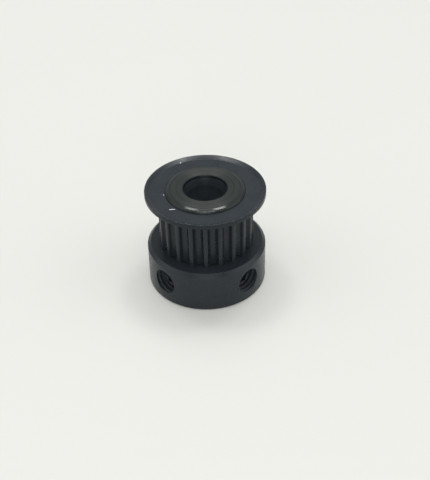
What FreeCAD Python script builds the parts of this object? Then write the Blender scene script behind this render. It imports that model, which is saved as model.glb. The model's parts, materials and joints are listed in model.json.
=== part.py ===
"""Twenty-tooth timing belt pulley with a 5 mm bore, a clamping hub and two set screws.

Frame: millimetres, +Z up along the bore. The origin is the centre of the hub's flat base, so the
hub is at the bottom and the pressed-on flange ring at the top. One set screw points along -Y and
the other along +X.
"""
import FreeCAD, Part
import math
import os

import Sketcher

DIMENSIONS = {
    # shaft bore
    "bore_diameter": 5.0,
    "bore_chamfer": 0.35,
    # clamping hub
    "hub_diameter": 15.5,
    "hub_height": 5.8,
    "hub_chamfer": 0.6,
    "base_chamfer": 0.2,
    # toothed section for a 2 mm pitch belt, 6 mm wide
    "tooth_count": 20,
    "belt_pitch": 2.0,
    "pitch_line_offset": 0.254,
    "belt_space": 7.1,
    "groove_depth": 0.75,
    "groove_bottom_radius": 0.555,
    "groove_flank_angle": 15.0,
    "land_edge_radius": 0.15,
    # flange ring and the rolled lip that holds it
    "flange_diameter": 15.5,
    "flange_thickness": 0.6,
    "flange_fit_gap": 0.01,
    "flare_width": 0.65,
    "flare_rise": 0.35,
    "neck_diameter": 9.2,
    "boss_height": 0.45,
    "boss_flat_diameter": 9.1,
    "lip_roll_radius": 0.5,
    # M4 set screws, cup point, 4 mm long
    "screw_height": 3.0,
    "screw_hole_diameter": 4.0,
    "thread_gap": 0.02,
    "screw_length": 4.0,
    "screw_end_chamfer": 0.35,
    "cup_diameter": 2.0,
    "cup_depth": 0.35,
    "socket_width": 2.0,
    "socket_depth": 1.6,
    "socket_point_depth": 0.4,
}

FULL_TURN = 360.0
CUTTER_OVERSHOOT = 1.0


class Size:
    """A dimension that carries its value and the sheet expression that gives it."""

    def __init__(self, value, text):
        self.value = value
        self.text = text

    @staticmethod
    def of(number):
        return number if isinstance(number, Size) else Size(float(number), repr(float(number)))

    def __add__(self, other):
        other = Size.of(other)
        return Size(self.value + other.value, f"({self.text} + {other.text})")

    def __sub__(self, other):
        other = Size.of(other)
        return Size(self.value - other.value, f"({self.text} - {other.text})")

    def __mul__(self, other):
        other = Size.of(other)
        return Size(self.value * other.value, f"({self.text} * {other.text})")

    def __truediv__(self, other):
        other = Size.of(other)
        return Size(self.value / other.value, f"({self.text} / {other.text})")

    def __neg__(self):
        return Size(-self.value, f"(-{self.text})")


def size(alias):
    return Size(float(DIMENSIONS[alias]), f"dims.{alias}")


def cosine(angle):
    return Size(math.cos(math.radians(angle.value)), f"cos({angle.text} * 1 deg)")


def sine(angle):
    return Size(math.sin(math.radians(angle.value)), f"sin({angle.text} * 1 deg)")


def tangent(angle):
    return Size(math.tan(math.radians(angle.value)), f"tan({angle.text} * 1 deg)")


# Sizes worked out from the driving dimensions ------------------------------------------------

ZERO = Size.of(0)

BORE_RADIUS = size("bore_diameter") / 2
BORE_MOUTH_RADIUS = BORE_RADIUS + size("bore_chamfer")
HUB_RADIUS = size("hub_diameter") / 2
HUB_TOP = size("hub_height")
TOOTH_RADIUS = size("tooth_count") * size("belt_pitch") / (2 * math.pi) - size("pitch_line_offset")
ROOT_RADIUS = TOOTH_RADIUS - size("groove_depth")
SHOULDER = HUB_TOP + size("belt_space")
FLANGE_FLAT = SHOULDER + size("flange_thickness")
BOSS_TOP = FLANGE_FLAT + size("boss_height")
SCREW_HEIGHT = size("screw_height")


def make_sheet(doc):
    """The spreadsheet of driving dimensions: one row each, with the alias in column A."""
    sheet = doc.addObject("Spreadsheet::Sheet", "dims")
    for row, (alias, value) in enumerate(DIMENSIONS.items(), start=1):
        sheet.set(f"A{row}", alias)
        sheet.set(f"B{row}", str(value))
        sheet.setAlias(f"B{row}", alias)
    doc.recompute()


def bind(obj, property_path, length):
    obj.setExpression(property_path, length.text)


def origin_feature(body, role):
    return next(item for item in body.Origin.OriginFeatures if item.Role == role)


def new_sketch(body, name, plane, height=None):
    """A sketch on one of the body's origin planes, raised by height along the plane's normal."""
    sketch = body.newObject("Sketcher::SketchObject", name)
    sketch.AttachmentSupport = [(origin_feature(body, plane), "")]
    sketch.MapMode = "FlatFace"
    if height is not None:
        sketch.AttachmentOffset = FreeCAD.Placement(
            FreeCAD.Vector(0, 0, height.value), FreeCAD.Rotation())
        bind(sketch, "AttachmentOffset.Base.z", height)
    return sketch


def pin_coordinate(sketch, axis, side, point, length):
    """Bind one coordinate of a sketch point to the sheet; a zero coordinate lies on the axis."""
    if length is ZERO:
        across = -2 if axis == "X" else -1
        sketch.addConstraint(Sketcher.Constraint("PointOnObject", side, point, across))
        return
    constraint = Sketcher.Constraint(f"Distance{axis}", side, point, length.value)
    index = sketch.addConstraint(constraint)
    bind(sketch, f"Constraints[{index}]", length)


def draw_outline(sketch, corners, arc_centres=None):
    """A closed outline through corners, each a pair of Sizes.

    arc_centres maps a side's number to the centre of the arc that replaces the straight side.
    Its ends are pinned already, so of its centre only the coordinate across the chord is pinned.
    """
    arc_centres = arc_centres or {}
    points = [FreeCAD.Vector(x.value, y.value, 0) for x, y in corners]
    count = len(points)
    ends = []
    for side, start in enumerate(points):
        end = points[(side + 1) % count]
        anticlockwise = True
        if side in arc_centres:
            centre = FreeCAD.Vector(*(length.value for length in arc_centres[side]), 0)
            outward = (start - centre) + (end - centre)
            middle = centre + outward.normalize() * (start - centre).Length
            sketch.addGeometry(Part.Arc(start, middle, end), False)
            anticlockwise = (start - centre).cross(end - centre).z > 0
        else:
            sketch.addGeometry(Part.LineSegment(start, end), False)
        # a sketch numbers an arc's ends anticlockwise, whichever way the outline runs
        ends.append((1, 2) if anticlockwise else (2, 1))

    for side in range(count):
        following = (side + 1) % count
        sketch.addConstraint(Sketcher.Constraint(
            "Coincident", side, ends[side][1], following, ends[following][0]))
    for side, (x, y) in enumerate(corners):
        pin_coordinate(sketch, "X", side, ends[side][0], x)
        pin_coordinate(sketch, "Y", side, ends[side][0], y)
    centre_point = 3
    for side, (centre_x, centre_y) in arc_centres.items():
        chord = points[(side + 1) % count] - points[side]
        if abs(chord.x) > abs(chord.y):
            pin_coordinate(sketch, "Y", side, centre_point, centre_y)
        else:
            pin_coordinate(sketch, "X", side, centre_point, centre_x)


def revolve(body, name, corners, arc_centres=None, cut=False):
    """Turn an outline of (radius, height) corners about the body's Z axis."""
    sketch = new_sketch(body, f"{name}_outline", "XZ_Plane")
    draw_outline(sketch, corners, arc_centres)
    kind = "PartDesign::Groove" if cut else "PartDesign::Revolution"
    feature = body.newObject(kind, name)
    feature.Profile = sketch
    feature.ReferenceAxis = (sketch, ["V_Axis"])
    feature.Angle = FULL_TURN
    return feature


def pocket(body, name, sketch, depth, reverse=False):
    feature = body.newObject("PartDesign::Pocket", name)
    feature.Profile = sketch
    feature.Type = "Length"
    feature.Reversed = reverse
    bind(feature, "Length", depth)
    return feature


def polar_pattern(body, name, original, angle, occurrences):
    """Repeat a feature about the body's Z axis; occurrences may be a Size or a plain number."""
    pattern = body.newObject("PartDesign::PolarPattern", name)
    pattern.Originals = [original]
    pattern.Axis = (origin_feature(body, "Z_Axis"), [""])
    pattern.Angle = angle
    if isinstance(occurrences, Size):
        pattern.Occurrences = int(occurrences.value)
        bind(pattern, "Occurrences", occurrences)
    else:
        pattern.Occurrences = occurrences
    body.Tip = pattern
    return pattern


def fillet(doc, body, name, base, radius, wanted):
    """Round the edges of base for which wanted(edge) is true."""
    doc.recompute()
    names = [f"Edge{number}" for number, edge in enumerate(base.Shape.Edges, start=1)
             if wanted(edge)]
    feature = body.newObject("PartDesign::Fillet", name)
    feature.Base = (base, names)
    bind(feature, "Radius", radius)
    body.Tip = feature
    return feature


def is_land_edge(edge):
    """True for the long straight edges where a groove's flanks meet the teeth's outer surface."""
    if not isinstance(edge.Curve, (Part.Line, Part.LineSegment)):
        return False
    middle = edge.CenterOfMass
    radius = math.hypot(middle.x, middle.y)
    return (abs(radius - TOOTH_RADIUS.value) < 1e-3
            and abs(edge.Length - size("belt_space").value) < 1e-3)


def make_pulley_body(doc):
    """Hub, teeth, neck and rolled lip: one turned and toothed piece."""
    body = doc.addObject("PartDesign::Body", "pulley_body")
    body.Label = "pulley_body"
    hub_chamfer = size("hub_chamfer")
    base_chamfer = size("base_chamfer")
    bore_chamfer = size("bore_chamfer")
    neck_radius = size("neck_diameter") / 2
    boss_flat_radius = size("boss_flat_diameter") / 2
    # the rolled lip is an arc that starts level at the boss's flat and comes down on the ring
    roll_radius = size("lip_roll_radius")
    roll_centre = BOSS_TOP - roll_radius
    drop = FLANGE_FLAT - roll_centre
    roll_reach = Size(
        math.sqrt(roll_radius.value ** 2 - drop.value ** 2),
        f"sqrt({(roll_radius * roll_radius - drop * drop).text})")
    revolve(body, "turned_blank", [
        (BORE_MOUTH_RADIUS, ZERO),
        (HUB_RADIUS - base_chamfer, ZERO),
        (HUB_RADIUS, base_chamfer),
        (HUB_RADIUS, HUB_TOP - hub_chamfer),
        (HUB_RADIUS - hub_chamfer, HUB_TOP),
        (TOOTH_RADIUS, HUB_TOP),
        (TOOTH_RADIUS, SHOULDER),
        (neck_radius, SHOULDER),
        (neck_radius, FLANGE_FLAT),
        (boss_flat_radius + roll_reach, FLANGE_FLAT),
        (boss_flat_radius, BOSS_TOP),
        (BORE_MOUTH_RADIUS, BOSS_TOP),
        (BORE_RADIUS, BOSS_TOP - bore_chamfer),
        (BORE_RADIUS, bore_chamfer),
    ], {9: (boss_flat_radius, roll_centre)})
    cut_tooth_grooves(doc, body)
    cut_screw_holes(body)


def cut_tooth_grooves(doc, body):
    """Round-bottomed grooves between straight flanks, cut from the shoulder down to the hub."""
    bottom_radius = size("groove_bottom_radius")
    flank = size("groove_flank_angle")
    centre_height = ROOT_RADIUS + bottom_radius
    meeting_x = bottom_radius * cosine(flank)
    meeting_y = centre_height - bottom_radius * sine(flank)
    mouth_y = TOOTH_RADIUS + CUTTER_OVERSHOOT
    mouth_x = meeting_x + (mouth_y - meeting_y) * tangent(flank)
    sketch = new_sketch(body, "groove_outline", "XY_Plane", HUB_TOP)
    draw_outline(
        sketch,
        [(-mouth_x, mouth_y), (-meeting_x, meeting_y), (meeting_x, meeting_y), (mouth_x, mouth_y)],
        {1: (ZERO, centre_height)})
    groove = pocket(body, "groove", sketch, size("belt_space"), reverse=True)
    grooves = polar_pattern(body, "grooves", groove, FULL_TURN, size("tooth_count"))
    fillet(doc, body, "land_rounding", grooves, size("land_edge_radius"), is_land_edge)


def cut_screw_holes(body):
    """Two radial M4 holes from the bore to the hub's side, a quarter turn apart."""
    sketch = new_sketch(body, "screw_hole_outline", "XZ_Plane")
    radius = size("screw_hole_diameter") / 2
    circle = sketch.addGeometry(
        Part.Circle(FreeCAD.Vector(0, SCREW_HEIGHT.value, 0), FreeCAD.Vector(0, 0, 1),
                    radius.value), False)
    centre_point = 3
    pin_coordinate(sketch, "X", circle, centre_point, ZERO)
    pin_coordinate(sketch, "Y", circle, centre_point, SCREW_HEIGHT)
    index = sketch.addConstraint(Sketcher.Constraint("Radius", circle, radius.value))
    bind(sketch, f"Constraints[{index}]", radius)
    hole = pocket(body, "screw_hole", sketch, HUB_RADIUS + CUTTER_OVERSHOOT, reverse=True)
    quarter_turn = 90.0
    polar_pattern(body, "screw_holes", hole, quarter_turn, 2)


def make_flange_ring(doc):
    """Pressed steel ring with a rim that flares up, held between the shoulder and the lip."""
    body = doc.addObject("PartDesign::Body", "flange_ring")
    body.Label = "flange_ring"
    outer_radius = size("flange_diameter") / 2
    hole_radius = size("neck_diameter") / 2 + size("flange_fit_gap")
    width = size("flare_width")
    rise = size("flare_rise")
    thickness = size("flange_thickness")
    flat_radius = outer_radius - width
    rim_top = FLANGE_FLAT + rise
    # the sheet is equally thick on both sides of the bend, and its rim is cut upright
    slant = Size(
        math.hypot(width.value, rise.value),
        f"sqrt({(width * width + rise * rise).text})")
    bend_shift = thickness * (slant - width) / rise
    rim_height = thickness * slant / width
    revolve(body, "pressed_ring", [
        (hole_radius, SHOULDER),
        (flat_radius + bend_shift, SHOULDER),
        (outer_radius, rim_top - rim_height),
        (outer_radius, rim_top),
        (flat_radius, FLANGE_FLAT),
        (hole_radius, FLANGE_FLAT),
    ])


def make_set_screw(doc, label, rotation, direction):
    """M4 cup-point set screw, built point down at the origin and then turned into its hole.

    direction is the outward unit vector of its hole. The screw is fully home: its cup's rim is
    level with the bore's wall, where it would grip a shaft.
    """
    body = doc.addObject("PartDesign::Body", label)
    body.Label = label
    radius = size("screw_hole_diameter") / 2 - size("thread_gap")
    cup_radius = size("cup_diameter") / 2
    end_chamfer = size("screw_end_chamfer")
    length = size("screw_length")
    revolve(body, f"{label}_blank", [
        (ZERO, size("cup_depth")),
        (cup_radius, ZERO),
        (radius, radius - cup_radius),
        (radius, length - end_chamfer),
        (radius - end_chamfer, length),
        (ZERO, length),
    ])
    socket = new_sketch(body, f"{label}_socket_outline", "XY_Plane", length)
    half_width = size("socket_width") / 2
    corner = half_width / cosine(Size.of(30))
    draw_outline(socket, [
        (corner, ZERO),
        (corner / 2, half_width),
        (-corner / 2, half_width),
        (-corner, ZERO),
        (-corner / 2, -half_width),
        (corner / 2, -half_width),
    ])
    pocket(body, f"{label}_socket", socket, size("socket_depth"))
    floor = length - size("socket_depth")
    revolve(body, f"{label}_socket_point", [
        (ZERO, floor - size("socket_point_depth")),
        (half_width, floor),
        (ZERO, floor),
    ], cut=True)
    body.Placement = FreeCAD.Placement(
        FreeCAD.Vector(*direction) * BORE_RADIUS.value, rotation)
    for axis, part in zip("xy", direction):
        bind(body, f"Placement.Base.{axis}", BORE_RADIUS * part)
    bind(body, "Placement.Base.z", SCREW_HEIGHT)


def check_and_export(doc, labels):
    """Stop if anything failed to build, then write one STEP file for each sub-part."""
    doc.recompute()
    for obj in doc.Objects:
        if "Invalid" in obj.State or "Error" in obj.State:
            raise RuntimeError(f"{obj.Name} failed: {obj.State}")
    os.makedirs("parts", exist_ok=True)
    for label in labels:
        shape = doc.getObjectsByLabel(label)[0].Shape
        if shape.isNull() or not shape.isValid() or len(shape.Solids) != 1:
            raise RuntimeError(f"{label} isn't one valid solid")
        shape.exportStep(f"parts/{label}.step")
        box = shape.optimalBoundingBox()
        print(f"{label}: {shape.Volume:.2f} mm3, "
              f"x {box.XMin:.2f}..{box.XMax:.2f}, y {box.YMin:.2f}..{box.YMax:.2f}, "
              f"z {box.ZMin:.2f}..{box.ZMax:.2f}")


def main():
    doc = FreeCAD.newDocument("timing_belt_pulley")
    make_sheet(doc)
    make_pulley_body(doc)
    make_flange_ring(doc)
    lay_forward = FreeCAD.Rotation(FreeCAD.Vector(1, 0, 0), 90)
    lay_right = FreeCAD.Rotation(FreeCAD.Vector(0, 1, 0), 90)
    make_set_screw(doc, "set_screw_front", lay_forward, (0, -1, 0))
    make_set_screw(doc, "set_screw_right", lay_right, (1, 0, 0))
    check_and_export(doc, ["pulley_body", "flange_ring", "set_screw_front", "set_screw_right"])


main()
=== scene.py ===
"""Looks of a black timing belt pulley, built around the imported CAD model.

Meshes are worked out in millimetres, because the cuts between them need whole-sized numbers, and
are scaled to metres when they are finished. Heights run up from the hub's base, angles go
anticlockwise from +X, and one set screw points along -Y and the other along +X.
"""
import json
import math

import bmesh
import bpy
from mathutils import Matrix, Vector


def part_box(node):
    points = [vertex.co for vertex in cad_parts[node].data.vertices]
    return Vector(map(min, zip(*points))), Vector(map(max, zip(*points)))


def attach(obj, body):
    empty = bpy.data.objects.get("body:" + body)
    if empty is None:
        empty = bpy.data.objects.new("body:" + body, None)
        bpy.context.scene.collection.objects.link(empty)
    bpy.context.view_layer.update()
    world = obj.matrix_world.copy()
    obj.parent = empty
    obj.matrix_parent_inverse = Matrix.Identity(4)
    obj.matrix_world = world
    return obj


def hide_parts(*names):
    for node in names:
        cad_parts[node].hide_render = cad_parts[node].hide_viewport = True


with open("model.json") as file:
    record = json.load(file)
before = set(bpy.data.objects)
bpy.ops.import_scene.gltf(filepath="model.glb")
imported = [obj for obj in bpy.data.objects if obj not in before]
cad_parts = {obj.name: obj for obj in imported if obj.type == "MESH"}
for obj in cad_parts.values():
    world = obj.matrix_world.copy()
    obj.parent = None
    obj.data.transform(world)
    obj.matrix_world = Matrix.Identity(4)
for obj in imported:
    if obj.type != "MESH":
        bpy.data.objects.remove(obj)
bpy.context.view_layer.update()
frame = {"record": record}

MM = 0.001

# Sizes read from the frame, in millimetres ---------------------------------------------------


def box_mm(node):
    low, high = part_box(node)
    return low / MM, high / MM


def mount_of(name):
    return next(mount for mount in frame["record"]["mounts"] if mount["name"] == name)


def joint_of(name):
    joints = frame["record"]["behaviour"]["joints"]
    return next(joint for joint in joints if joint["name"] == name)


_, BODY_HIGH = box_mm("pulley_body")
RING_LOW, RING_HIGH = box_mm("flange_ring")
SCREW_LOW, SCREW_HIGH = box_mm("set_screw_right")

HUB_RADIUS = BODY_HIGH.x
BOSS_TOP = BODY_HIGH.z
BORE_RADIUS = mount_of("shaft_bore")["dims"]["r_mm"]
FLANGE_RADIUS = RING_HIGH.x
SHOULDER = RING_LOW.z
RIM_TOP = RING_HIGH.z
SCREW_HEIGHT = (SCREW_LOW.z + SCREW_HIGH.z) / 2
SCREW_TIP = SCREW_LOW.x
SCREW_END = SCREW_HIGH.x
SCREW_TRAVEL = joint_of("right_screw_travel")["range_m"][1] / MM

# Sizes that the frame doesn't give, in millimetres --------------------------------------------

# hub and bore
HUB_HEIGHT = 5.8
HUB_CHAMFER = 0.45
BASE_CHAMFER = 0.2
BORE_CHAMFER = 0.35
BORE_LEAD_DEPTH = 1.4

# teeth for a 2 mm pitch belt
TOOTH_COUNT = 20
BELT_PITCH = 2.0
PITCH_LINE_OFFSET = 0.254
GROOVE_DEPTH = 0.75
TOOTH_RADIUS = TOOTH_COUNT * BELT_PITCH / math.tau - PITCH_LINE_OFFSET
ROOT_RADIUS = TOOTH_RADIUS - GROOVE_DEPTH
GROOVE_BOTTOM_RADIUS = 0.61
GROOVE_FLANK_ANGLE = math.radians(20)
LAND_EDGE_RADIUS = 0.2
FIRST_GROOVE_ANGLE = math.radians(-90)

# flange ring, and the rolled lip above it
FLANGE_THICKNESS = 0.6
FLANGE_FLAT = SHOULDER + FLANGE_THICKNESS
FLARE_WIDTH = 0.65
FLARE_BEND_RADIUS = 0.2
RIM_ROUNDING = 0.06
NECK_RADIUS = 4.6
RING_HOLE_RADIUS = 4.61
LIP_RADIUS = 5.15
LIP_SLOPE_WIDTH = 0.3
LIP_SLOPE_ANGLE = math.radians(21)
LIP_EDGE_WIDTH = 0.13
LIP_EDGE_ANGLE = math.radians(35)

# the set screws' directions
FRONT = (0, -1, 0)
RIGHT = (1, 0, 0)

# M4 threads, and the screws' ends
THREAD_PITCH = 0.7
THREAD_SLOPE = math.tan(math.radians(30))
HOLE_CREST_RADIUS = 1.62
HOLE_ROOT_RADIUS = 2.0
HOLE_MOUTH_RADIUS = 1.67
HOLE_MOUTH_DEPTH = 0.2
HOLE_CHAMFER = 0.15
HOLE_RUNOUT = 0.5
SCREW_CREST_RADIUS = 1.84
SCREW_ROOT_RADIUS = 1.58
SCREW_END_CHAMFER = 0.48
# A screw slides without turning, by less than two pitches. At rest its thread sits half of the
# shortfall too far out in the hole's thread, and at the end of its travel as much too far in.
SCREW_THREAD_SHIFT = (2 * THREAD_PITCH - SCREW_TRAVEL) / 2
SCREW_THREAD_ALLOWANCE = SCREW_THREAD_SHIFT + 0.012
SOCKET_SIDES = 6
SOCKET_WIDTH = 2.0
SOCKET_MOUTH_RADIUS = 1.22
SOCKET_MOUTH_DEPTH = SOCKET_MOUTH_RADIUS * 0.75
SOCKET_DEPTH = 1.6
SOCKET_POINT_RADIUS = SOCKET_WIDTH * 0.48
SOCKET_POINT_DEPTH = 0.4
CUP_RADIUS = 1.0
CUP_DEPTH = 0.35

# how finely the shapes are divided, and how cuts are made
CORNER_STEPS = 4
GROOVE_BOTTOM_STEPS = 6
LAND_STEPS = 3
LIP_ROLL_STEPS = 10
RING_STEPS = 256
CONE_STEPS = 48
THREAD_STEPS = 64
STATIONS_PER_PITCH = 18
SHARP_ANGLE = math.radians(32)
MERGE_DISTANCE = 0.0005
CUTTER_OVERRUN = 0.5
CONE_OVERLAP = 0.01

# floor, camera and lamps
FLOOR_HALF_WIDTH = 1500
CAMERA_AZIMUTH = math.radians(46.3)
CAMERA_ELEVATION = math.radians(37.46)
CAMERA_DISTANCE = 130.3
CAMERA_LENS = 74.9
CAMERA_ROLL = math.radians(-1.25)
AIM_HEIGHT = 7.75
AIM_YAW = math.radians(0.616)
AIM_PITCH = math.radians(0.796)
SOFTBOX_DISTANCE = 500
SURROUND_LEVEL = 0.51
# direction as seen from the camera, half angle in degrees, change of the surround's level
STUDIO_AREAS = (
    ((0, -0.05, 1), 26, -0.42),
    ((-0.8, -0.1, 0.6), 40, 0.9),
    ((0.8, -0.1, 0.6), 40, 1.1),
    ((0, 0.42, 0.9), 20, 3.4),
    ((0, -0.61, 0.79), 26, -0.4),
    ((0, -0.97, 0.22), 34, 1.3),
)
# name, direction as seen from the camera, width and depth, radiance
SOFTBOXES = (
    ("softbox_right", (0.225, 0.25, 0.94), 95, 100, 16.5),
    ("softbox_left", (-0.235, 0.25, 0.94), 95, 100, 15.5),
    ("softbox_top", (0, -0.3, 0.954), 260, 32, 17.0),
    ("softbox_front", (0, -0.89, 0.45), 260, 40, 6.0),
)


# Outlines ------------------------------------------------------------------------------------


def polar(radius, angle):
    return Vector((radius * math.cos(angle), radius * math.sin(angle)))


def arc(centre, radius, start, end, steps):
    """Points of an arc from one angle to another, both ends included."""
    centre = Vector(centre)
    return [centre + polar(radius, start + (end - start) * step / steps)
            for step in range(steps + 1)]


def rounded(corners):
    """Points of a closed outline through corners (x, y, radius), with each corner rounded off."""
    points = []
    for index, (x, y, radius) in enumerate(corners):
        corner = Vector((x, y))
        if radius == 0:
            points.append(corner)
            continue
        before = (Vector(corners[index - 1][:2]) - corner).normalized()
        after = (Vector(corners[(index + 1) % len(corners)][:2]) - corner).normalized()
        half_angle = before.angle(after) / 2
        centre = corner + (before + after).normalized() * radius / math.sin(half_angle)
        reach = radius / math.tan(half_angle)
        first = corner + before * reach - centre
        turn = first.angle_signed(corner + after * reach - centre)
        start = math.atan2(first.y, first.x)
        # angle_signed counts clockwise turns as positive
        points += arc(centre, radius, start, start - turn, CORNER_STEPS)
    return points


def groove_half():
    """Half of one belt groove, from its middle to the middle of the next land.

    The groove's middle lies on +Y: a round bottom, a straight flank, a rounded edge and the land.
    """
    bottom_centre = Vector((0, ROOT_RADIUS + GROOVE_BOTTOM_RADIUS))
    quarter = math.pi / 2
    points = arc(bottom_centre, GROOVE_BOTTOM_RADIUS, -quarter, -GROOVE_FLANK_ANGLE,
                 GROOVE_BOTTOM_STEPS)
    along = Vector((math.sin(GROOVE_FLANK_ANGLE), math.cos(GROOVE_FLANK_ANGLE)))
    inward = Vector((along.y, -along.x))
    # the edge's centre is one edge radius inside both the flank and the teeth's outer circle
    base = points[-1] + inward * LAND_EDGE_RADIUS
    reach = TOOTH_RADIUS - LAND_EDGE_RADIUS
    half_b = base.dot(along)
    travel = -half_b + math.sqrt(half_b ** 2 - base.length_squared + reach ** 2)
    centre = base + along * travel
    start = math.pi - GROOVE_FLANK_ANGLE
    end = math.atan2(centre.y, centre.x)
    points += arc(centre, LAND_EDGE_RADIUS, start, end, CORNER_STEPS)
    land_middle = quarter - math.pi / TOOTH_COUNT
    points += arc((0, 0), TOOTH_RADIUS, end, land_middle, LAND_STEPS)[1:]
    return points


def tooth_outline():
    """(radius, angle) of every point round the teeth, anticlockwise."""
    half = groove_half()
    groove = [Vector((point.x, point.y)) for point in reversed(half[1:])]
    groove += [Vector((-point.x, point.y)) for point in half[:-1]]
    pitch_angle = math.tau / TOOTH_COUNT
    outline = []
    for tooth in range(TOOTH_COUNT):
        turn = FIRST_GROOVE_ANGLE - math.pi / 2 + tooth * pitch_angle
        outline += [(point.length, math.atan2(point.y, point.x) + turn) for point in groove]
    return outline


# Meshes --------------------------------------------------------------------------------------


def new_object(name, vertices, faces):
    mesh = bpy.data.meshes.new(name)
    mesh.from_pydata(vertices, [], faces)
    outward = bmesh.new()
    outward.from_mesh(mesh)
    bmesh.ops.recalc_face_normals(outward, faces=outward.faces)
    outward.to_mesh(mesh)
    outward.free()
    obj = bpy.data.objects.new(name, mesh)
    bpy.context.scene.collection.objects.link(obj)
    return obj


def skin(name, rings):
    """A closed surface through rings of points.

    The last ring joins the first when the rings run round a hole. When the first and the last
    are single points, they are the two poles.
    """
    with_poles = len(rings[0]) == 1
    body = rings[1:-1] if with_poles else rings
    count = len(body[0])
    vertices = [point for ring in body for point in ring]
    faces = []
    for row in range(len(body) - 1 if with_poles else len(body)):
        start = row * count
        above = (row + 1) % len(body) * count
        for column in range(count):
            beside = (column + 1) % count
            faces.append((start + column, start + beside, above + beside, above + column))
    if with_poles:
        last = (len(body) - 1) * count
        for pole, start in ((rings[0][0], 0), (rings[-1][0], last)):
            vertices.append(pole)
            faces += [(len(vertices) - 1, start + column, start + (column + 1) % count)
                      for column in range(count)]
    return new_object(name, vertices, faces)


def even_angles(count):
    return [math.tau * step / count for step in range(count)]


def turned_ring(radius, height, angles):
    return [Vector((*polar(radius, angle), height)) for angle in angles]


def merge_close_points(mesh):
    """Merge the near-double points that a cut leaves where two edges cross."""
    merged = bmesh.new()
    merged.from_mesh(mesh)
    bmesh.ops.remove_doubles(merged, verts=merged.verts, dist=MERGE_DISTANCE)
    bmesh.ops.dissolve_degenerate(merged, edges=merged.edges, dist=MERGE_DISTANCE)
    merged.to_mesh(mesh)
    merged.free()


def cut(target, cutter):
    """Cut target with cutter and remove the cutter."""
    modifier = target.modifiers.new("cut", "BOOLEAN")
    modifier.operation = "DIFFERENCE"
    modifier.solver = "EXACT"
    modifier.object = cutter
    graph = bpy.context.evaluated_depsgraph_get()
    result = bpy.data.meshes.new_from_object(target.evaluated_get(graph))
    target.modifiers.clear()
    target.data = result
    merge_close_points(result)
    bpy.data.objects.remove(cutter)


def thread_radius(crest_radius, root_radius, allowance, along, angle):
    """Radius of a right-handed thread at a distance along its axis and an angle round it.

    crest_radius is its widest and root_radius its narrowest, and allowance thins each flank. For
    a hole, the thread is that of the rod which cuts it. Threads keep in step because along is
    measured from the pulley's axis for holes and screws alike.
    """
    turns = along / THREAD_PITCH - angle / math.tau
    distance = abs(turns - round(turns)) * THREAD_PITCH
    half_tooth = THREAD_PITCH / 16 + (HOLE_ROOT_RADIUS - crest_radius) * THREAD_SLOPE - allowance
    radius = crest_radius - (distance - half_tooth) / THREAD_SLOPE
    return max(root_radius, min(crest_radius, radius))


def thread_stations(start, end):
    """Distances along a thread, close enough together to follow its flanks."""
    count = math.ceil((end - start) / THREAD_PITCH * STATIONS_PER_PITCH)
    return [start + (end - start) * step / count for step in range(count + 1)]


def ring_along_x(along, radii, angles):
    return [Vector((along, *polar(radius, angle))) for radius, angle in zip(radii, angles)]


def place_radially(obj, direction):
    """Turn a piece built along +X to the direction of its hole and raise it to its height."""
    turn = Vector((1, 0, 0)).rotation_difference(Vector(direction)).to_matrix().to_4x4()
    obj.data.transform(Matrix.Translation((0, 0, SCREW_HEIGHT)) @ turn)


def finish_mesh(obj, body, slot, *nodes):
    """Scale a piece to metres, smooth it up to its sharp edges and attach it to its body."""
    obj.data.transform(Matrix.Scale(MM, 4))
    obj.data.shade_smooth()
    obj.data.set_sharp_from_angle(angle=SHARP_ANGLE)
    weighted = obj.modifiers.new("even_normals", "WEIGHTED_NORMAL")
    weighted.keep_sharp = True
    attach(obj, body)
    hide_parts(*nodes)


# Pieces --------------------------------------------------------------------------------------


def make_hole_cutter(direction):
    """A threaded rod from inside the bore to beyond the hub's side.

    Its thread runs out before the side, a counterbore clears the last turn away, and a chamfer
    breaks the mouth's edge.
    """
    angles = even_angles(THREAD_STEPS)
    start = BORE_RADIUS * 0.6
    end = HUB_RADIUS + CUTTER_OVERRUN
    mouth_start = HUB_RADIUS - HOLE_MOUTH_DEPTH
    runout_start = mouth_start - HOLE_RUNOUT
    runout_slope = (HOLE_ROOT_RADIUS - HOLE_MOUTH_RADIUS) / HOLE_RUNOUT
    rings = [[Vector((start, 0, 0))]]
    for along in thread_stations(start, end):
        past_runout = min(max(along - runout_start, 0), HOLE_RUNOUT)
        widest = HOLE_ROOT_RADIUS - past_runout * runout_slope
        mouth = HOLE_MOUTH_RADIUS - max(mouth_start - along, 0) * THREAD_SLOPE
        mouth += max(along - HUB_RADIUS + HOLE_CHAMFER, 0)
        radii = [thread_radius(HOLE_ROOT_RADIUS, HOLE_CREST_RADIUS, 0, along, angle)
                 for angle in angles]
        radii = [max(mouth, min(widest, radius)) for radius in radii]
        rings.append(ring_along_x(along, radii, angles))
    rings.append([Vector((end, 0, 0))])
    cutter = skin("hole_cutter", rings)
    place_radially(cutter, direction)
    return cutter


def rolled_lip():
    """Corners of the lip: a roll up from the ring, a steep edge, then a slope to the boss."""
    edge_rise = LIP_EDGE_WIDTH * math.tan(LIP_EDGE_ANGLE)
    slope_rise = LIP_SLOPE_WIDTH * math.tan(LIP_SLOPE_ANGLE)
    edge_top = BOSS_TOP - slope_rise
    roll_radius = (edge_top - edge_rise - FLANGE_FLAT) / math.cos(LIP_EDGE_ANGLE)
    roll = arc((LIP_RADIUS - roll_radius, FLANGE_FLAT), roll_radius,
               0, math.pi / 2 - LIP_EDGE_ANGLE, LIP_ROLL_STEPS)
    slope_foot = roll[-1].x - LIP_EDGE_WIDTH
    return [*((point.x, point.y, 0) for point in roll),
            (slope_foot, edge_top, 0.1),
            (slope_foot - LIP_SLOPE_WIDTH, BOSS_TOP, 0.3)]


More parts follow.
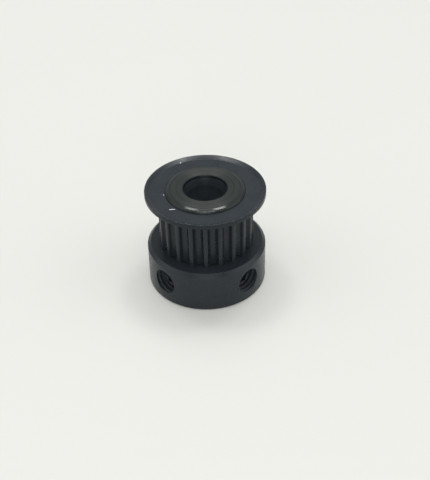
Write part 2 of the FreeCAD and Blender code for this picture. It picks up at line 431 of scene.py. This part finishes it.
def make_pulley_body():
    """Hub, teeth, neck and rolled lip in one closed surface, with the two threaded holes cut."""
    profile = rounded([
        (BORE_RADIUS, BORE_CHAMFER, 0.05),
        (BORE_RADIUS + BORE_CHAMFER, 0, 0.05),
        (HUB_RADIUS - BASE_CHAMFER, 0, 0.06),
        (HUB_RADIUS, BASE_CHAMFER, 0.08),
        (HUB_RADIUS, HUB_HEIGHT - HUB_CHAMFER, 0.08),
        (HUB_RADIUS - HUB_CHAMFER, HUB_HEIGHT, 0.08),
        (TOOTH_RADIUS, HUB_HEIGHT, 0),
        (TOOTH_RADIUS, SHOULDER, 0),
        (NECK_RADIUS, SHOULDER, 0),
        (NECK_RADIUS, FLANGE_FLAT, 0),
        *rolled_lip(),
        (BORE_RADIUS + BORE_CHAMFER, BOSS_TOP, 0.12),
        (BORE_RADIUS, BOSS_TOP - BORE_LEAD_DEPTH, 0.1),
    ])
    teeth = tooth_outline()
    angles = [angle for _, angle in teeth]
    rings = []
    for radius, height in profile:
        if math.isclose(radius, TOOTH_RADIUS, abs_tol=1e-4):
            rings.append([Vector((*polar(reach, angle), height)) for reach, angle in teeth])
        else:
            rings.append(turned_ring(radius, height, angles))
    body = skin("pulley_body_turned", rings)
    for direction in (FRONT, RIGHT):
        cut(body, make_hole_cutter(direction))
    finish_mesh(body, "pulley", "black_anodised_aluminium", "pulley_body")
    return body


def make_flange_ring():
    """A pressed ring: flat, then a short bend and a straight flare up to an upright rim."""
    rise = RIM_TOP - FLANGE_FLAT
    flat_radius = FLANGE_RADIUS - FLARE_WIDTH
    slant = math.hypot(FLARE_WIDTH, rise)
    bend_shift = FLANGE_THICKNESS * (slant - FLARE_WIDTH) / rise
    rim_height = FLANGE_THICKNESS * slant / FLARE_WIDTH
    profile = rounded([
        (RING_HOLE_RADIUS, SHOULDER, 0),
        (flat_radius + bend_shift, SHOULDER, FLARE_BEND_RADIUS + FLANGE_THICKNESS),
        (FLANGE_RADIUS, RIM_TOP - rim_height, RIM_ROUNDING),
        (FLANGE_RADIUS, RIM_TOP, RIM_ROUNDING),
        (flat_radius, FLANGE_FLAT, FLARE_BEND_RADIUS),
        (RING_HOLE_RADIUS, FLANGE_FLAT, 0),
    ])
    angles = even_angles(RING_STEPS)
    ring = skin("flange_ring_pressed",
                [turned_ring(radius, height, angles) for radius, height in profile])
    finish_mesh(ring, "pulley", "black_pressed_steel", "flange_ring")
    return ring


def make_socket_cutter():
    """A six-sided prism from the socket's floor to beyond the screw's end."""
    floor = SCREW_END - SOCKET_DEPTH
    outside = SCREW_END + CUTTER_OVERRUN
    corner = SOCKET_WIDTH / 2 / math.cos(math.pi / SOCKET_SIDES)
    angles = even_angles(SOCKET_SIDES)
    corners = [corner] * SOCKET_SIDES
    rings = [
        [Vector((floor, 0, 0))],
        ring_along_x(floor, corners, angles),
        ring_along_x(outside, corners, angles),
        [Vector((outside, 0, 0))],
    ]
    return skin("socket_cutter", rings)


def make_cone_cutter(tip, base, radius):
    """A cone along +X with its tip and the centre of its base at these distances."""
    angles = even_angles(CONE_STEPS)
    rings = [
        [Vector((tip, 0, 0))],
        ring_along_x(base, [radius] * len(angles), angles),
        [Vector((base, 0, 0))],
    ]
    return skin("cone_cutter", rings)


def make_set_screw(name, body, direction):
    """A threaded screw with a cup point, a six-sided socket, its drill point and its mouth."""
    angles = even_angles(THREAD_STEPS)
    rings = [[Vector((SCREW_TIP + CUP_DEPTH, 0, 0))]]
    for along in thread_stations(SCREW_TIP, SCREW_END):
        limit = min(CUP_RADIUS + along - SCREW_TIP,
                    SCREW_CREST_RADIUS - SCREW_END_CHAMFER + SCREW_END - along)
        radii = [min(limit, thread_radius(SCREW_CREST_RADIUS, SCREW_ROOT_RADIUS,
                                          SCREW_THREAD_ALLOWANCE,
                                          along - SCREW_THREAD_SHIFT, angle))
                 for angle in angles]
        rings.append(ring_along_x(along, radii, angles))
    rings.append([Vector((SCREW_END, 0, 0))])
    screw = skin(f"{name}_threaded", rings)
    cut(screw, make_socket_cutter())
    floor = SCREW_END - SOCKET_DEPTH
    cut(screw, make_cone_cutter(floor - SOCKET_POINT_DEPTH, floor + CONE_OVERLAP,
                                SOCKET_POINT_RADIUS))
    cut(screw, make_cone_cutter(SCREW_END - SOCKET_MOUTH_DEPTH, SCREW_END + CONE_OVERLAP,
                                SOCKET_MOUTH_RADIUS))
    place_radially(screw, direction)
    finish_mesh(screw, body, "black_oxide_steel", name)
    return screw


# Materials -----------------------------------------------------------------------------------


class Shader:
    """A node material with its Principled shader, and short calls that add nodes to it.

    Lengths are in millimetres: position is the point on the piece, in the frame's axes.
    """

    def __init__(self, name):
        self.material = bpy.data.materials.new(name)
        self.material.use_nodes = True
        self.tree = self.material.node_tree
        self.principled = self.tree.nodes["Principled BSDF"]
        coordinates = self.node("ShaderNodeTexCoord").outputs["Object"]
        self.position = self.vector("SCALE", coordinates, scale=1 / MM)
        self.z = self.split(self.position)[2]
        flat = self.vector("MULTIPLY", self.position, (1, 1, 0))
        self.radius = self.vector("LENGTH", flat)

    def node(self, kind, **settings):
        node = self.tree.nodes.new(kind)
        for name, value in settings.items():
            setattr(node, name, value)
        return node

    def feed(self, socket, value):
        """Link a socket, or set it when value is a plain number or colour."""
        if isinstance(value, bpy.types.NodeSocket):
            self.tree.links.new(value, socket)
        elif value is not None:
            socket.default_value = value

    def set(self, name, value):
        self.feed(self.principled.inputs[name], value)

    def vector(self, operation, a, b=None, scale=None):
        node = self.node("ShaderNodeVectorMath", operation=operation)
        self.feed(node.inputs[0], a)
        self.feed(node.inputs[1], b)
        if scale is not None:
            self.feed(node.inputs["Scale"], scale)
        gives_number = operation in ("LENGTH", "DISTANCE", "DOT_PRODUCT")
        return node.outputs["Value" if gives_number else "Vector"]

    def split(self, vector):
        node = self.node("ShaderNodeSeparateXYZ")
        self.feed(node.inputs[0], vector)
        return node.outputs

    def math(self, operation, a, b=None):
        node = self.node("ShaderNodeMath", operation=operation)
        self.feed(node.inputs[0], a)
        self.feed(node.inputs[1], b)
        return node.outputs[0]

    def add(self, *terms):
        total = terms[0]
        for term in terms[1:]:
            total = self.math("ADD", total, term)
        return total

    def times(self, *factors):
        product = factors[0]
        for factor in factors[1:]:
            product = self.math("MULTIPLY", product, factor)
        return product

    def noise(self, vector, scale, detail=2.0, roughness=0.5):
        """Soft 3-D noise, from about 0.2 to 0.8; scale is in cycles per millimetre."""
        node = self.node("ShaderNodeTexNoise")
        self.feed(node.inputs["Vector"], vector)
        self.feed(node.inputs["Scale"], scale)
        self.feed(node.inputs["Detail"], detail)
        self.feed(node.inputs["Roughness"], roughness)
        return node.outputs["Fac"]

    def noise_along(self, value, scale, detail=2.0, roughness=0.6):
        """Noise along one number, which gives parallel lines or, along the radius, rings."""
        node = self.node("ShaderNodeTexNoise", noise_dimensions="1D")
        self.feed(node.inputs["W"], value)
        self.feed(node.inputs["Scale"], scale)
        self.feed(node.inputs["Detail"], detail)
        self.feed(node.inputs["Roughness"], roughness)
        return node.outputs["Fac"]

    def span(self, value, low, high, to_low=0.0, to_high=1.0):
        """A smooth step: to_low where value is low, to_high where it is high."""
        node = self.node("ShaderNodeMapRange", interpolation_type="SMOOTHSTEP")
        self.feed(node.inputs["Value"], value)
        for name, number in (("From Min", low), ("From Max", high),
                             ("To Min", to_low), ("To Max", to_high)):
            self.feed(node.inputs[name], number)
        return node.outputs["Result"]

    def mix(self, factor, a, b):
        node = self.node("ShaderNodeMix", data_type="RGBA")
        self.feed(node.inputs[0], factor)
        self.feed(node.inputs[6], a)
        self.feed(node.inputs[7], b)
        return node.outputs[2]

    def bump(self, height, distance, normal=None):
        """Raise the surface by height times distance; distance is in millimetres."""
        node = self.node("ShaderNodeBump")
        self.feed(node.inputs["Distance"], distance * MM)
        self.feed(node.inputs["Height"], height)
        self.feed(node.inputs["Normal"], normal)
        return node.outputs[0]

    def specks(self, cells_per_mm, share, size):
        """Sparse round specks: share of the cells hold one, and size is its radius in cells."""
        node = self.node("ShaderNodeTexVoronoi")
        self.feed(node.inputs["Vector"], self.position)
        self.feed(node.inputs["Scale"], cells_per_mm)
        chosen = self.math("LESS_THAN", self.split(node.outputs["Color"])[0], share)
        near = self.span(node.outputs["Distance"], size * 0.6, size, 1.0, 0.0)
        return self.times(chosen, near)

    def nick(self, start, end, half_width):
        """1 on a straight mark between two points, with ragged edges, and 0 away from it."""
        start = Vector(start)
        along = Vector(end) - start
        offset = self.vector("SUBTRACT", self.position, start)
        share = self.times(self.vector("DOT_PRODUCT", offset, along), 1 / along.length_squared)
        share = self.math("MAXIMUM", self.math("MINIMUM", share, 1.0), 0.0)
        distance = self.vector("DISTANCE", offset, self.vector("SCALE", along, scale=share))
        ragged = self.span(self.noise(self.position, 7.0), 0.3, 0.7, 0.0, half_width * 0.5)
        return self.span(self.add(distance, ragged), half_width * 0.8, half_width * 1.2, 1.0, 0.0)


def colour(red, green, blue):
    return (red, green, blue, 1.0)


def anodised_aluminium():
    """Satin black anodising over turned aluminium, with tool rings except on the teeth."""
    shader = Shader("black_anodised_aluminium")
    # rings run along the radius on the faces and along the height on the sides
    along_profile = shader.add(shader.radius, shader.z)
    fine_rings = shader.noise_along(along_profile, 14.0, detail=3.0)
    broad_rings = shader.noise_along(along_profile, 3.6, detail=2.0)
    grain = shader.noise(shader.position, 28.0, detail=3.0, roughness=0.65)
    patches = shader.noise(shader.position, 0.35, detail=3.0)
    above_ring = shader.span(shader.z, FLANGE_FLAT, FLANGE_FLAT + 0.15)
    mouth_radius = BORE_RADIUS + BORE_CHAMFER
    past_mouth = shader.span(shader.radius, mouth_radius - 0.05, mouth_radius)
    on_boss = shader.times(above_ring, past_mouth)
    lead_with_painted_shade = shader.times(above_ring, shader.math("SUBTRACT", 1.0, past_mouth))
    on_teeth = shader.times(shader.span(shader.z, HUB_HEIGHT, HUB_HEIGHT + 0.05),
                            shader.span(shader.z, SHOULDER - 0.05, SHOULDER, 1.0, 0.0))
    lip_start = LIP_RADIUS - 0.7
    on_lip = shader.times(above_ring, shader.span(shader.radius, lip_start, lip_start + 0.2))
    painted_fill_in_bore = shader.span(shader.radius, BORE_RADIUS + 0.02, BORE_RADIUS + 0.1, 1.0, 0.0)
    # inside the hub, where only the holes' walls and the bore are; their colour is lightened
    # there as painted fill light
    skin_start, skin_end = 0.3, 0.5
    inside_with_painted_fill = shader.times(
        shader.span(shader.radius, HUB_RADIUS - skin_end, HUB_RADIUS - skin_start, 1.0, 0.0),
        shader.span(shader.z, HUB_HEIGHT - skin_end, HUB_HEIGHT - skin_start, 1.0, 0.0),
        shader.span(shader.z, skin_start, skin_end))

    base = shader.mix(patches, colour(0.0155, 0.0198, 0.0238), colour(0.0180, 0.0228, 0.0272))
    boss_rings = shader.span(broad_rings, 0.3, 0.7)
    boss = shader.mix(boss_rings, colour(0.0095, 0.0135, 0.0115), colour(0.0255, 0.0295, 0.0268))
    base = shader.mix(on_boss, base, boss)
    # painted light: the bore's wall is coloured lighter the deeper it goes, to make up for the
    # shade inside the bore
    painted_fill_full_depth = 4.0
    depth = shader.span(shader.z, BOSS_TOP - painted_fill_full_depth, BOSS_TOP - BORE_LEAD_DEPTH, 1.0, 0.0)
    bore = shader.mix(depth, colour(0.022, 0.027, 0.031), colour(0.085, 0.100, 0.112))
    base = shader.mix(painted_fill_in_bore, base, bore)
    # painted shade: the bore's lead-in is coloured near black, for the shade in the bore's mouth
    base = shader.mix(lead_with_painted_shade, base, colour(0.006, 0.008, 0.010))
    # painted light: the walls inside the hub are coloured lighter than the outside, to make up
    # for the shade in the holes and the bore
    base = shader.mix(inside_with_painted_fill, base, colour(0.030, 0.037, 0.044))
    dust = shader.specks(cells_per_mm=2.2, share=0.035, size=0.11)
    base = shader.mix(shader.times(dust, 0.6), base, colour(0.22, 0.22, 0.2))
    shader.set("Base Color", base)

    satin = shader.span(patches, 0.3, 0.7, 0.24, 0.32)
    satin = shader.add(satin, shader.times(on_boss, 0.12), shader.times(on_lip, -0.24),
                       shader.times(lead_with_painted_shade, -0.18), shader.times(inside_with_painted_fill, 0.2),
                       shader.times(dust, 0.3))
    shader.set("Roughness", satin)
    shader.set("IOR", 1.33)
    shader.set("Anisotropic", 0.85)
    shader.set("Anisotropic Rotation", 0.25)
    tangent = shader.node("ShaderNodeTangent", direction_type="RADIAL", axis="Z")
    shader.set("Tangent", tangent.outputs[0])
    turned = shader.math("SUBTRACT", 1.0, on_teeth)
    normal = shader.bump(shader.times(grain, turned), 0.0006)
    normal = shader.bump(shader.times(broad_rings, turned), 0.003, normal)
    shader.set("Normal", shader.bump(shader.times(fine_rings, turned), 0.0010, normal))
    return shader.material


def pressed_steel():
    """Blackened sheet steel, with bare steel showing in a few nicks and along its rim's edge."""
    shader = Shader("black_pressed_steel")
    grain = shader.noise(shader.position, 22.0, detail=4.0, roughness=0.7)
    patches = shader.noise(shader.position, 0.5, detail=3.0)
    base = shader.mix(patches, colour(0.0155, 0.0200, 0.0240), colour(0.0190, 0.0240, 0.0284))

    def on_flat(radius, degrees):
        return (*polar(radius, math.radians(degrees)), FLANGE_FLAT)

    nicks = [
        shader.nick(on_flat(5.94, -92.8), on_flat(5.45, -88.6), 0.07),
        shader.nick(on_flat(5.28, -125.0), on_flat(5.31, -126.0), 0.05),
        shader.nick(on_flat(7.12, 162.2), on_flat(7.12, 163.2), 0.065),
    ]
    bare = nicks[0]
    for nick in nicks[1:]:
        bare = shader.math("MAXIMUM", bare, nick)
    rim_edge = shader.times(
        shader.span(shader.radius, FLANGE_RADIUS - 0.13, FLANGE_RADIUS - 0.07),
        shader.span(shader.z, RIM_TOP - 0.16, RIM_TOP - 0.1))
    chipped = shader.span(shader.noise(shader.position, 3.2, detail=3.0), 0.55, 0.62)
    worn = shader.times(rim_edge, chipped, 0.14)
    # painted shade: the rim's outer face is coloured darker than the rest of the ring
    rim_face_painted_shade = shader.span(shader.radius, FLANGE_RADIUS - 0.03, FLANGE_RADIUS - 0.01)
    base = shader.mix(rim_face_painted_shade, base, colour(0.0100, 0.0145, 0.0190))
    base = shader.mix(worn, base, colour(0.30, 0.30, 0.28))
    base = shader.mix(bare, base, colour(0.68, 0.69, 0.66))
    shader.set("Base Color", base)
    shader.set("Roughness", shader.span(patches, 0.3, 0.7, 0.25, 0.33))
    shader.set("IOR", 1.32)
    shader.set("Normal", shader.bump(grain, 0.0010))
    return shader.material


def black_oxide():
    """Oiled black oxide on machined steel."""
    shader = Shader("black_oxide_steel")
    grain = shader.noise(shader.position, 30.0, detail=3.0, roughness=0.6)
    patches = shader.noise(shader.position, 1.5, detail=3.0)
    base = shader.mix(patches, colour(0.010, 0.0128, 0.0160), colour(0.017, 0.0210, 0.0250))
    shader.set("Base Color", base)
    shader.set("Roughness", shader.span(patches, 0.3, 0.7, 0.38, 0.5))
    shader.set("IOR", 1.36)
    shader.set("Normal", shader.bump(grain, 0.0015))
    return shader.material


# Floor, light and camera ---------------------------------------------------------------------


def make_floor():
    mesh = bpy.data.meshes.new("floor")
    half = FLOOR_HALF_WIDTH * MM
    mesh.from_pydata([(-half, -half, 0), (half, -half, 0), (half, half, 0), (-half, half, 0)],
                     [], [(0, 1, 2, 3)])
    floor = bpy.data.objects.new("floor", mesh)
    bpy.context.scene.collection.objects.link(floor)
    shader = Shader("pale_floor")
    tone = shader.noise(shader.position, 0.01, detail=2.0)
    pale = shader.mix(tone, colour(0.498, 0.496, 0.468), colour(0.516, 0.514, 0.485))
    shader.set("Base Color", pale)
    # a faint glow, which lightens the shadow under the pulley
    shader.set("Emission Color", colour(1.0, 0.995, 0.94))
    shader.set("Emission Strength", 0.122)
    shader.set("Roughness", 0.6)
    shader.set("Specular IOR Level", 0.2)
    mesh.materials.append(shader.material)


def aim(obj, direction):
    """Turn a light or a camera, which look along their own -Z, to a direction."""
    obj.rotation_mode = "QUATERNION"
    obj.rotation_quaternion = Vector(direction).to_track_quat("-Z", "Y")


def photo_direction(across, away, up):
    """A direction given as seen from the camera: to its right, away from it, and up."""
    turn = Matrix.Rotation(CAMERA_AZIMUTH, 3, "Z")
    return turn @ Vector((across, away, up)).normalized()


def add_softbox(name, direction, width, depth, radiance):
    """A rectangular lamp that faces the pulley; lengths in millimetres."""
    data = bpy.data.lights.new(name, "AREA")
    data.shape = "RECTANGLE"
    data.size = width * MM
    data.size_y = depth * MM
    # an area lamp's radiance is its power over its area and pi
    data.energy = radiance * data.size * data.size_y * math.pi
    lamp = bpy.data.objects.new(name, data)
    bpy.context.scene.collection.objects.link(lamp)
    lamp.location = direction * SOFTBOX_DISTANCE * MM
    aim(lamp, -direction)


class Studio:
    """The world: an even pale surround with brighter and darker areas, fixed in the room."""

    def __init__(self, level, tint):
        world = bpy.data.worlds.new("studio")
        world.use_nodes = True
        bpy.context.scene.world = world
        self.tree = world.node_tree
        self.background = self.tree.nodes["Background"]
        self.background.inputs["Color"].default_value = tint
        self.direction = self.tree.nodes.new("ShaderNodeTexCoord").outputs["Generated"]
        self.level = level
        self.total = None

    def math(self, operation, a, b):
        node = self.tree.nodes.new("ShaderNodeMath")
        node.operation = operation
        for socket, value in zip(node.inputs, (a, b)):
            if isinstance(value, bpy.types.NodeSocket):
                self.tree.links.new(value, socket)
            else:
                socket.default_value = value
        return node.outputs[0]

    def area(self, direction, half_angle, change):
        """Raise or lower the light by change around a direction, fading out at half_angle."""
        product = self.tree.nodes.new("ShaderNodeVectorMath")
        product.operation = "DOT_PRODUCT"
        self.tree.links.new(self.direction, product.inputs[0])
        product.inputs[1].default_value = direction
        fade = self.tree.nodes.new("ShaderNodeMapRange")
        fade.interpolation_type = "SMOOTHSTEP"
        self.tree.links.new(product.outputs["Value"], fade.inputs["Value"])
        fade.inputs["From Min"].default_value = math.cos(math.radians(half_angle))
        fade.inputs["From Max"].default_value = 1.0
        amount = self.math("MULTIPLY", fade.outputs["Result"], change)
        self.total = self.math("ADD", self.level if self.total is None else self.total, amount)

    def finish(self):
        self.tree.links.new(self.total, self.background.inputs["Strength"])


def light_scene():
    studio = Studio(SURROUND_LEVEL, colour(0.97, 0.985, 1.0))
    for direction, half_angle, change in STUDIO_AREAS:
        studio.area(photo_direction(*direction), half_angle, change)
    studio.finish()
    for name, direction, width, depth, radiance in SOFTBOXES:
        add_softbox(name, photo_direction(*direction), width, depth, radiance)
    bpy.context.scene.view_settings.view_transform = "Standard"


def make_camera():
    data = bpy.data.cameras.new("camera")
    data.lens = CAMERA_LENS
    data.clip_start = 1 * MM
    data.clip_end = 10000 * MM
    camera = bpy.data.objects.new("camera", data)
    bpy.context.scene.collection.objects.link(camera)
    bpy.context.scene.camera = camera
    back = photo_direction(0, -math.cos(CAMERA_ELEVATION), math.sin(CAMERA_ELEVATION))
    camera.location = (Vector((0, 0, AIM_HEIGHT)) + back * CAMERA_DISTANCE) * MM
    downward = CAMERA_ELEVATION + AIM_PITCH
    look = photo_direction(math.sin(AIM_YAW) * math.cos(downward),
                           math.cos(AIM_YAW) * math.cos(downward),
                           -math.sin(downward))
    aim(camera, look)
    roll = Matrix.Rotation(CAMERA_ROLL, 3, "Z").to_quaternion()
    camera.rotation_quaternion = camera.rotation_quaternion @ roll


def main():
    body = make_pulley_body()
    ring = make_flange_ring()
    screws = [make_set_screw("set_screw_front", "front_screw", FRONT),
              make_set_screw("set_screw_right", "right_screw", RIGHT)]
    body.data.materials.append(anodised_aluminium())
    ring.data.materials.append(pressed_steel())
    oxide = black_oxide()
    for screw in screws:
        screw.data.materials.append(oxide)
    make_floor()
    light_scene()
    make_camera()


main()
